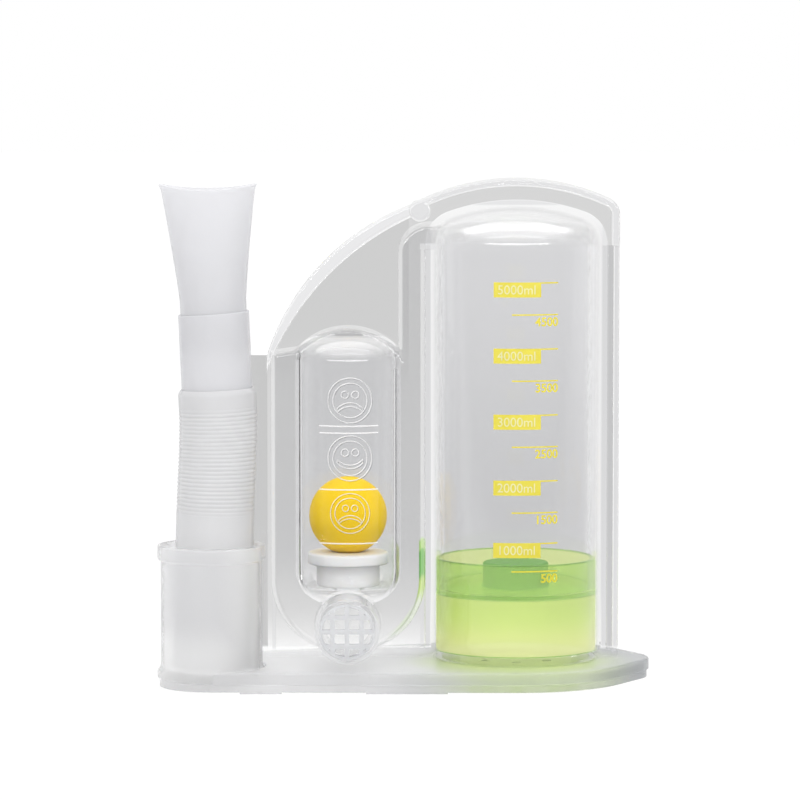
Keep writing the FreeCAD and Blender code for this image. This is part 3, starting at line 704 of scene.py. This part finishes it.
def welded_half(node):
    """A shell's mesh with one vertex per place, which keeps its exact normals as plain data. The
    rear half reaches a little into the front one, so that the union leaves no face between."""
    mesh = frame["nodes"][node].data.copy()
    normals = [0.0] * (3 * len(mesh.loops))
    mesh.corner_normals.foreach_get("vector", normals)
    mesh.attributes.new("kept_normal", "FLOAT_VECTOR", "CORNER").data.foreach_set("vector", normals)
    bm = bmesh.new()
    bm.from_mesh(mesh)
    bmesh.ops.remove_doubles(bm, verts=bm.verts, dist=1e-7)
    if node == "rear_shell":
        for v in bm.verts:
            if abs(v.co.y) < 1e-7:
                v.co.y = -CONTACT_OVERLAP
    bm.to_mesh(mesh)
    bm.free()
    return placed(node, mesh)


def mark_creases(mesh, normals):
    """Marks the edges at which the corner normals of the two faces differ."""
    sides = {}
    for polygon in mesh.polygons:
        loops = list(polygon.loop_indices)
        for here, after in zip(loops, loops[1:] + loops[:1]):
            start = mesh.loops[here]
            ends = {start.vertex_index: normals[here],
                    mesh.loops[after].vertex_index: normals[after]}
            sides.setdefault(start.edge_index, []).append(ends)
    creases = mesh.attributes.new("sharp_edge", "BOOLEAN", "EDGE")
    for index, faces in sides.items():
        first = faces[0]
        creases.data[index].value = any((first[v] - other[v]).length > CREASE
                                        for other in faces[1:] for v in first)


def joined_shells():
    """Both clear halves as one moulding: the faces in which they meet are gone, so the walls show
    no mirror image of the parting plane."""
    front = welded_half("front_shell")
    rear = welded_half("rear_shell")
    union = front.modifiers.new("union", "BOOLEAN")
    union.operation = "UNION"
    union.solver = "MANIFOLD"
    union.object = rear
    view = bpy.context.evaluated_depsgraph_get()
    mesh = bpy.data.meshes.new_from_object(front.evaluated_get(view))
    mesh.name = "clear_body"
    for half in (front, rear):
        bpy.data.objects.remove(half)
    mesh.materials.clear()
    mesh.materials.append(CLEAR)
    mesh.shade_smooth()
    normals = [Vector(item.vector).normalized() for item in mesh.attributes["kept_normal"].data]
    mark_creases(mesh, normals)
    thinned(mesh)
    mesh.normals_split_custom_set(normals)
    piece = placed("clear_body", mesh)
    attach(piece, "base")
    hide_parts("front_shell", "rear_shell")


# Base

def cup():
    """Round cup with a flange at its foot and a thicker rim."""
    r = cup_flare_radius
    z = cup_low.z
    top = cup_high.z
    middle = 0.3 * MM
    under = z + 0.1 * MM
    flange_top = z + 2.6 * MM
    neck = r - 1.2 * MM
    neck_low = z + 4.4 * MM
    neck_high = top - 5.4 * MM
    rim = r - 0.1 * MM
    rim_low = top - 4.9 * MM
    bore = r - 3.2 * MM
    floor_top = z + 2.3 * MM
    profile = softened([
        (middle, under), (r, under), (r, flange_top), (neck, neck_low), (neck, neck_high),
        (rim, rim_low), (rim, top), (bore, top), (bore, floor_top), (middle, floor_top),
    ], [0, 0.6 * MM, 0.6 * MM, 1.0 * MM, 0.5 * MM, 0.6 * MM, 0.7 * MM, 0.7 * MM, 2.0 * MM, 0])
    turned("hose_cup", profile, cup_axis, FROSTED, "base", "storage_cup")


# Hose line

def hose_foot_x(z):
    return cup_axis.x + (z - HOSE_FOOT) * math.tan(HOSE_LEAN)


def bellows_end():
    """Centre of the bellows' upper end."""
    foot = hose_foot_x(LOWER_CUFF_TOP)
    return (foot + BELLOWS_LENGTH * math.sin(HOSE_LEAN),
            LOWER_CUFF_TOP + BELLOWS_LENGTH * math.cos(HOSE_LEAN))


def lower_cuff():
    top = HOSE_FOOT + (LOWER_CUFF_TOP - HOSE_FOOT) / math.cos(HOSE_LEAN)
    r = HOSE_RADIUS
    profile = softened([
        (HOSE_BORE, HOSE_FOOT), (r, HOSE_FOOT), (r, top), (HOSE_BORE, top),
    ], [0.3 * MM, 0.5 * MM, 0.05 * MM, 0.05 * MM])
    turned("hose_foot_cuff", profile, cup_axis, HOSE, "hose_lower", "hose_lower_cuff",
           leaned(HOSE_LEAN, cup_axis.x, HOSE_FOOT))


def bellows():
    """Ribbed stretch of hose that bends gently from one lean to the other."""
    x0 = hose_foot_x(LOWER_CUFF_TOP)
    x1, z1 = bellows_end()
    start = Vector((x0, cup_axis.y, LOWER_CUFF_TOP))
    end = Vector((x1, cup_axis.y, z1))
    pull = BELLOWS_LENGTH
    t0 = Vector((math.sin(HOSE_LEAN), 0, math.cos(HOSE_LEAN))) * pull
    t1 = Vector((math.sin(TOP_LEAN), 0, math.cos(TOP_LEAN))) * pull
    steps = BELLOWS_RIBS * 8
    outer = []
    inner = []
    for i in range(steps + 1):
        t = i / steps
        h = (2 * t**3 - 3 * t**2 + 1, t**3 - 2 * t**2 + t, -2 * t**3 + 3 * t**2, t**3 - t**2)
        center = start * h[0] + t0 * h[1] + end * h[2] + t1 * h[3]
        lean = HOSE_LEAN + (TOP_LEAN - HOSE_LEAN) * t
        across = Vector((math.cos(lean), 0, -math.sin(lean)))
        wave = 0.5 - 0.5 * math.cos(2 * math.pi * t * BELLOWS_RIBS)
        rib = 1 - (1 - wave) ** 1.6
        fade = min(1.0, t * 14, (1 - t) * 14)
        radius = HOSE_RADIUS - RIB_DEPTH * (1 - rib) * fade
        outer.append(ring_at(center, across, radius))
        inner.append(ring_at(center, across, radius - 1.1 * MM))
    verts, faces = stitched(outer + inner[::-1], closed_tube=True)
    piece = add_piece("hose_ribs", verts, faces, HOSE, None, "hose_bellows", 60)
    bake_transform(piece)


def ring_at(center, across, radius):
    """Ring of points about a center; across points to its right."""
    ring = []
    for j in range(ROUND):
        turn = 2 * math.pi * j / ROUND
        ring.append(center + across * radius * math.cos(turn)
                    + Vector((0, 1, 0)) * radius * math.sin(turn))
    return ring


def upper_cuff():
    x, z = bellows_end()
    top = z + UPPER_CUFF
    bore = SLEEVE_RADIUS + 0.05 * MM
    r = HOSE_RADIUS
    profile = softened([
        (bore, z), (r, z), (r, top - 1.3 * MM), (r - 0.9 * MM, top), (bore, top),
    ], [0.1 * MM, 0.05 * MM, 0.7 * MM, 0.4 * MM, 0.2 * MM])
    axis = Vector((x, cup_axis.y, 0))
    turned("hose_top_cuff", profile, axis, HOSE, "hose_upper", "hose_upper_cuff",
           leaned(TOP_LEAN, x, z))


def sleeve():
    """Thin sleeve whose upper rim is cut at a slant, higher on the right."""
    x, z = bellows_end()
    low = z + UPPER_CUFF - SLEEVE_INSERTION
    high = z + UPPER_CUFF + SLEEVE_SHOWING
    axis = Vector((x, cup_axis.y, 0))
    r = SLEEVE_RADIUS
    profile = softened([
        (r - SLEEVE_WALL, low), (r, low), (r, high), (r - SLEEVE_WALL, high),
    ], 0.25 * MM)
    rings = lathe_rings(profile, axis)
    for ring in rings:
        for v in ring:
            if v.z > high - 1 * MM:
                v.z -= SLEEVE_RIM_DROP + SLEEVE_RIM_CUT * (x + r - v.x) / (2 * r)
    verts, faces = stitched(rings, closed_tube=True)
    turn = leaned(TOP_LEAN, x, z)
    add_piece("mouth_sleeve", [turn @ v for v in verts], faces, SLEEVE, "sleeve",
              "mouthpiece_sleeve")


def mouthpiece():
    """Round spigot that flares into a flat oval mouth with a dipped lip that turns outwards."""
    x, z = bellows_end()
    high = z + UPPER_CUFF + SLEEVE_SHOWING
    low = high - MOUTH_INSERTION
    top = high + MOUTH_SHOWING + MOUTH_RISE
    flare_start = high + MOUTH_STRAIGHT
    levels = [low, low + 0.4 * MM, high - 4 * MM, flare_start]
    levels += [flare_start + (top - flare_start) * k / 24 for k in range(1, 23)]
    levels += [top - LIP_HEIGHT * (1 - k / 8) for k in range(9)]

    def ring(level, shrink, drop=0.0):
        share = max(0.0, (level - flare_start) / (top - flare_start))
        grown = share ** 1.15
        width = MOUTH_RADIUS + (MOUTH_HALF_WIDTH - MOUTH_RADIUS) * grown - shrink
        depth = MOUTH_RADIUS + (MOUTH_HALF_DEPTH - MOUTH_RADIUS) * grown - shrink
        turned_out = LIP_FLARE * max(0.0, 1 - (top - level) / LIP_HEIGHT) ** 1.5
        width += turned_out
        depth += turned_out
        points = []
        for j in range(ROUND):
            turn = 2 * math.pi * j / ROUND
            across = math.cos(turn)
            dip = MOUTH_DIP * share**6 * (1 - across * across)
            dip += MOUTH_LEVELLING * share**6 * (1 + across)
            points.append(Vector((x + width * across, cup_axis.y + depth * math.sin(turn),
                                  level - dip - drop)))
        return points

    outer = [ring(level, 0.0) for level in levels]
    lip = []
    for k in range(1, 6):
        turn = math.pi * k / 6
        shrink = MOUTH_WALL / 2 * (1 - math.cos(turn))
        lip.append([v + Vector((0, 0, 0.45 * MM * math.sin(turn))) for v in ring(top, shrink)])
    inner = [ring(level, MOUTH_WALL) for level in levels[::-1]]
    verts, faces = stitched(outer + lip + inner, closed_tube=True)
    turn = leaned(TOP_LEAN, x, z)
    add_piece("mouth_flare", [turn @ v for v in verts], faces, MOUTH, "mouthpiece", "mouthpiece")


# Piston, ball and seat

def piston():
    r = (piston_high.x - piston_low.x) / 2
    z = piston_low.z
    w = 1.4 * MM
    floor = z + PISTON_FLOOR
    boss = 11.5 * MM
    boss_top = floor + 9.1 * MM
    top = piston_high.z
    e = 0.3 * MM
    profile = softened([
        (e, boss_top - w), (boss - w, boss_top - w), (boss - w, floor - w), (r - w, floor - w),
        (r - w, z), (r, z), (r, top), (r - w, top), (r - w, floor), (boss, floor),
        (boss, boss_top), (e, boss_top),
    ], [0, 0.5 * MM, 0.5 * MM, 0.8 * MM, 0.3 * MM, 0.3 * MM, 0.5 * MM, 0.4 * MM, 0.8 * MM,
        0.8 * MM, 0.9 * MM, 0])
    axis = Vector((chamber_axis.x, 0, 0))
    turned("volume_piston", profile, axis, GREEN, "piston", "piston", count=128)


def ball():
    radius = (ball_high.x - ball_low.x) / 2
    mesh = bpy.data.meshes.new("ball")
    bm = bmesh.new()
    bmesh.ops.create_icosphere(bm, subdivisions=6, radius=radius)
    bm.to_mesh(mesh)
    bm.free()
    mesh.transform(Matrix.Translation(ball_center))
    mesh.shade_smooth()
    mesh.materials.append(YELLOW)
    piece = placed("rising_ball", mesh)
    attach(piece, "ball")
    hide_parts("flow_ball")


def ball_seat():
    """Flanged seat with a bore and a round dish for the ball."""
    z = seat_low.z
    top = seat_high.z
    flange = (seat_high.x - seat_low.x) / 2
    flange_low = top - 4.2 * MM
    stem = 11.1 * MM
    bore = 4.0 * MM
    dish_edge = 5.6 * MM
    dish_radius = (ball_high.x - ball_low.x) / 2 + 0.3 * MM
    dish_steps = 5
    dish = []
    for k in range(1, dish_steps + 1):
        r = dish_edge + (bore - dish_edge) * k / dish_steps
        dish.append((r, ball_center.z - math.sqrt(dish_radius**2 - r**2)))
    profile = softened([
        (bore, z), (stem, z), (stem, flange_low), (flange, flange_low), (flange, top),
        (dish_edge, top),
    ], [0.2 * MM, 0.7 * MM, 0.5 * MM, 0.9 * MM, 1.1 * MM, 0.3 * MM]) + dish
    axis = Vector((column_x, 0, 0))
    turned("seat_cup", profile, axis, WHITE, "base", "ball_seat")


# Print and relief

def on_cylinder(point, axis_x, radius):
    """Wraps a flat (x, z) point with depth y onto the front of an upright cylinder."""
    turn = (point.x - axis_x) / radius
    reach = radius - point.y
    return Vector((axis_x + reach * math.sin(turn), -reach * math.cos(turn), point.z))


def text_mesh(text, size, x, z, align, weight):
    """Flat lettering as a fine mesh in the XZ plane; z is its base line. weight thickens it."""
    curve = bpy.data.curves.new("lettering", "FONT")
    curve.body = text
    curve.size = size
    curve.align_x = align
    curve.extrude = 0.03 * MM
    curve.offset = weight
    holder = bpy.data.objects.new("lettering", curve)
    mesh = bpy.data.meshes.new_from_object(holder)
    bpy.data.objects.remove(holder)
    mesh.transform(Matrix.Translation((x, 0, z)) @ Matrix.Rotation(math.pi / 2, 4, "X"))
    return mesh


def bar_mesh(x0, x1, z0, z1, depth):
    """Thin flat bar, cut fine enough to wrap round the chamber."""
    steps = max(2, int((x1 - x0) / (0.8 * MM)))
    rings = []
    for i in range(steps + 1):
        x = x0 + (x1 - x0) * i / steps
        rings.append([Vector((x, y, z)) for y, z in
                      ((0, z0), (-depth, z0), (-depth, z1), (0, z1))])
    verts, faces = stitched(rings)
    faces.append((0, 1, 2, 3))
    last = 4 * steps
    faces.append((last + 3, last + 2, last + 1, last))
    mesh = bpy.data.meshes.new("bar")
    mesh.from_pydata([tuple(v) for v in verts], [], faces)
    return mesh


def printed(name, meshes, material, lift):
    """Joins flat meshes and wraps them onto the chamber's front as one printed piece."""
    bm = bmesh.new()
    for mesh in meshes:
        bm.from_mesh(mesh)
        bpy.data.meshes.remove(mesh)
    for v in bm.verts:
        v.co = on_cylinder(Vector((v.co.x, v.co.y - lift, v.co.z)), chamber_axis.x, CHAMBER_RADIUS)
    bmesh.ops.recalc_face_normals(bm, faces=bm.faces)
    mesh = bpy.data.meshes.new(name)
    bm.to_mesh(mesh)
    bm.free()
    mesh.materials.append(material)
    piece = placed(name, mesh)
    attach(piece, "base")


def scale_print():
    """Volume scale: filled blocks with pale figures each 1000 ml, and plain figures between."""
    left = chamber_axis.x - 8.6 * MM
    block_right = chamber_axis.x + 7.9 * MM
    right = chamber_axis.x + 14.2 * MM
    half_left = chamber_axis.x - 2.2 * MM
    line = 0.5 * MM
    block = 5.2 * MM
    thickness = 0.02 * MM
    base_line = 4.1 * MM
    pale_size = 4.5 * MM
    ink_size = 4.2 * MM
    ink_weight = 0.09 * MM
    ink = []
    pale = []
    for i in range(SCALE_COUNT):
        z = SCALE_FIRST
        drop = SCALE_LAST_DROP
        if i > 0:
            z += SCALE_FIRST_STEP + SCALE_STEP * (i - 1)
            drop = SCALE_HALF_DROP
        ink.append(bar_mesh(left, block_right, z - block, z, thickness))
        ink.append(bar_mesh(block_right, right, z - line, z, thickness))
        pale.append(text_mesh("%d" % (1000 * (i + 1)) + "ml", pale_size, left + 1.3 * MM,
                              z - base_line, "LEFT", 0.0))
        half = z - drop
        ink.append(bar_mesh(half_left, right, half - line, half, thickness))
        ink.append(text_mesh("%d" % (1000 * (i + 1) - 500), ink_size, right, half - base_line,
                             "RIGHT", ink_weight))
    printed("scale_ink", ink, INK, 0.06 * MM)
    printed("scale_figures", pale, INK_PALE, 0.11 * MM)


def relief_wire(name, paths, thickness, material, shift=0.0):
    """Raised moulded lines on the column's front from flat (x, z) paths. shift moves them down
    and to the right, for their painted shadow."""
    curve = bpy.data.curves.new(name, "CURVE")
    curve.dimensions = "3D"
    curve.bevel_depth = thickness
    curve.bevel_resolution = 2
    for path, closed in paths:
        spline = curve.splines.new("POLY")
        spline.points.add(len(path) - 1)
        spline.use_cyclic_u = closed
        for point, (x, z) in zip(spline.points, path):
            at = on_cylinder(Vector((x + shift, 0.0, z - shift)), column_x, COLUMN_RADIUS)
            point.co = (at.x, at.y, at.z, 1)
    holder = bpy.data.objects.new(name, curve)
    mesh = bpy.data.meshes.new_from_object(holder)
    bpy.data.objects.remove(holder)
    mesh.shade_smooth()
    mesh.materials.append(material)
    piece = placed(name, mesh)
    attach(piece, "base")


def arc_path(x, z, radius, start, end, steps):
    path = []
    for k in range(steps + 1):
        turn = math.radians(start + (end - start) * k / steps)
        path.append((x + radius * math.cos(turn), z + radius * math.sin(turn)))
    return path


def face_paths(x, z, size, happy):
    """Two rings, two eyes and a band-shaped mouth."""
    paths = [(arc_path(x, z, 7.8 * size, 0, 352.5, 47), True),
             (arc_path(x, z, 6.0 * size, 0, 352.5, 47), True)]
    for side in (-1, 1):
        paths.append((arc_path(x + side * 1.8 * size, z + 2.0 * size, 1.25 * size, 0, 345, 23), True))
    bend = 6.0 * size
    if happy:
        upper = arc_path(x, z + 3.6 * size, bend, 222, 318, 20)
        lower = arc_path(x, z + 2.4 * size, bend, 318, 222, 20)
    else:
        upper = arc_path(x, z - 6.8 * size, bend, 42, 138, 20)
        lower = arc_path(x, z - 8.1 * size, bend, 138, 42, 20)
    paths.append((upper + lower, True))
    return paths


def column_marks():
    """Moulded faces and level lines on the column: rest, good flow, too much flow."""
    x = column_x + MARKS_SHIFT
    fine = 0.15 * MM
    plain = 0.22 * MM
    for name, paths, line in (("face_low", face_paths(x, FACE_LOW, 0.89 * MM, False), fine),
                              ("face_good", face_paths(x, FACE_GOOD, 1.0 * MM, True), plain),
                              ("face_high", face_paths(x, FACE_HIGH, 1.0 * MM, False), plain)):
        # Each mark as a pale painted highlight and a shifted dark painted shadow.
        relief_wire(name, paths, line, FACE_PAINTED_HIGHLIGHT)
        relief_wire(name + "_painted_shadow", paths, 0.7 * line, FACE_PAINTED_SHADOW, PAINTED_SHADOW_SHIFT)
    left = column_x - 10.2 * MM
    step = 1.34 * MM
    steps = 16
    lines = [([(left + step * k, z) for k in range(steps + 1)], False) for z in LEVEL_LINES]
    # Level lines as pale painted highlights.
    relief_wire("level_lines", lines, 0.26 * MM, LINE_PAINTED_HIGHLIGHT)


# Scene around the object

def floor():
    """White floor. In front of the object the plastic mirrors it darker, as an unlit room."""
    mesh = bpy.data.meshes.new("floor")
    reach = 6.0
    mesh.from_pydata([(-reach, -reach, 0), (reach, -reach, 0), (reach, reach, 0), (-reach, reach, 0)],
                     [], [(0, 1, 2, 3)])
    s = Shader("floor_white")
    matte = s.add("ShaderNodeBsdfDiffuse")
    matte.inputs["Color"].default_value = (0.9, 0.9, 0.9, 1)
    glow = s.add("ShaderNodeEmission")
    glow.inputs["Color"].default_value = (1, 1, 1, 1)
    light = s.add("ShaderNodeLightPath")
    ahead = s.ramp_between(s.place()["Y"], -0.5, -0.2, 0.42, 1.03)
    s.set(glow, "Strength", s.either(s.math("MULTIPLY", light.outputs["Is Camera Ray"], 1.03), ahead))
    seen = s.math("MAXIMUM", light.outputs["Is Camera Ray"], light.outputs["Is Transmission Ray"])
    seen = s.math("MAXIMUM", seen, light.outputs["Is Glossy Ray"])
    share = s.math("MULTIPLY", seen, 0.93)
    s.finish(s.mix(share, matte.outputs[0], glow.outputs[0]))
    mesh.materials.append(s.material)
    piece = placed("floor", mesh)


def area_light(name, place, target, size_x, size_y, power, mirrored=False):
    """Soft lamp. Only a mirrored one is seen in the plastic's reflections."""
    lamp = bpy.data.lights.new(name, "AREA")
    lamp.shape = "RECTANGLE"
    lamp.size = size_x
    lamp.size_y = size_y
    lamp.energy = power
    holder = placed(name, lamp)
    holder.location = place
    direction = Vector(target) - Vector(place)
    holder.rotation_euler = direction.to_track_quat("-Z", "Y").to_euler()
    holder.visible_glossy = mirrored
    holder.visible_transmission = mirrored


def world():
    """Pale studio: white where it is seen directly and behind the object, and darker at the
    sides and behind the camera, which gives the clear plastic its soft edge lines. A low strip
    in front shows as a short bright arc on the round tops."""
    studio = bpy.data.worlds.new("studio")
    bpy.context.scene.world = studio
    studio.use_nodes = True
    tree = studio.node_tree
    tree.nodes.clear()

    def add(kind):
        return tree.nodes.new(kind)

    def ranged(source, low, high, to_low, to_high):
        node = add("ShaderNodeMapRange")
        node.inputs["From Min"].default_value = low
        node.inputs["From Max"].default_value = high
        node.inputs["To Min"].default_value = to_low
        node.inputs["To Max"].default_value = to_high
        tree.links.new(source, node.inputs["Value"])
        return node.outputs[0]

    def combined(operation, first, second):
        node = add("ShaderNodeMath")
        node.operation = operation
        tree.links.new(first, node.inputs[0])
        if second is not None:
            tree.links.new(second, node.inputs[1])
        return node.outputs[0]

    apart = add("ShaderNodeSeparateXYZ")
    tree.links.new(add("ShaderNodeTexCoord").outputs["Generated"], apart.inputs[0])
    light = add("ShaderNodeLightPath")
    front = ranged(apart.outputs["Y"], -0.12, 0.04, 0.48, 1.0)
    side = ranged(combined("ABSOLUTE", apart.outputs["X"], None), 0.3, 0.95, 1.0, 0.6)
    above = ranged(apart.outputs["Z"], 0.6, 0.8, 1.0, 4.0)
    around = combined("MULTIPLY", combined("MULTIPLY", front, side), above)
    strip = combined("MULTIPLY", ranged(apart.outputs["Z"], 0.14, 0.17, 0.0, 1.0),
                     ranged(apart.outputs["Z"], 0.27, 0.24, 0.0, 1.0))
    strip = combined("MULTIPLY", strip, ranged(apart.outputs["Y"], -0.66, -0.76, 0.0, 12.0))
    mirrored = combined("MULTIPLY", light.outputs["Is Glossy Ray"],
                        ranged(light.outputs["Is Transmission Ray"], 0.0, 1.0, 1.0, 0.0))
    around = combined("ADD", around, combined("MULTIPLY", strip, mirrored))
    studio_light = add("ShaderNodeBackground")
    tree.links.new(around, studio_light.inputs["Color"])
    ambient = add("ShaderNodeBackground")
    ambient.inputs["Color"].default_value = (1, 1, 1, 1)
    ambient.inputs["Strength"].default_value = 1.0
    seen = add("ShaderNodeBackground")
    seen.inputs["Color"].default_value = (1, 1, 1, 1)
    soft = add("ShaderNodeMixShader")
    tree.links.new(light.outputs["Is Diffuse Ray"], soft.inputs[0])
    tree.links.new(studio_light.outputs[0], soft.inputs[1])
    tree.links.new(ambient.outputs[0], soft.inputs[2])
    mixer = add("ShaderNodeMixShader")
    tree.links.new(light.outputs["Is Camera Ray"], mixer.inputs[0])
    tree.links.new(soft.outputs[0], mixer.inputs[1])
    tree.links.new(seen.outputs[0], mixer.inputs[2])
    tree.links.new(mixer.outputs[0], add("ShaderNodeOutputWorld").inputs["Surface"])


def camera():
    data = bpy.data.cameras.new("camera")
    data.lens = LENS_MM
    data.sensor_width = SENSOR_MM
    data.clip_end = 30
    holder = placed("camera", data)
    away = Vector((0, -math.cos(VIEW_PITCH), math.sin(VIEW_PITCH)))
    holder.location = VIEW_TARGET + away * VIEW_DISTANCE
    holder.rotation_euler = (-away).to_track_quat("-Z", "Y").to_euler()
    bpy.context.scene.camera = holder


def main():
    camera()
    world()
    floor()
    area_light("key", (-0.6, -0.9, 1.0), (0, 0, 0.09), 0.9, 0.9, 4)
    area_light("fill", (0.8, -0.9, 0.5), (0, 0, 0.09), 0.9, 0.9, 3)
    area_light("strip", (0.0, -0.75, 0.85), (0, 0, 0.12), 1.5, 0.12, 2.5, True)
    copied_node("base_deck", BASE, "base")
    copied_node("base_plate", BASE, "base")
    cup()
    lower_cuff()
    bellows()
    upper_cuff()
    sleeve()
    mouthpiece()
    piston()
    ball()
    ball_seat()
    joined_shells()
    copied_node("hose_port", PORT, "base")
    copied_node("port_grille", GRILLE, "base")
    scale_print()
    column_marks()
    bpy.context.scene.view_settings.view_transform = "Standard"


main()
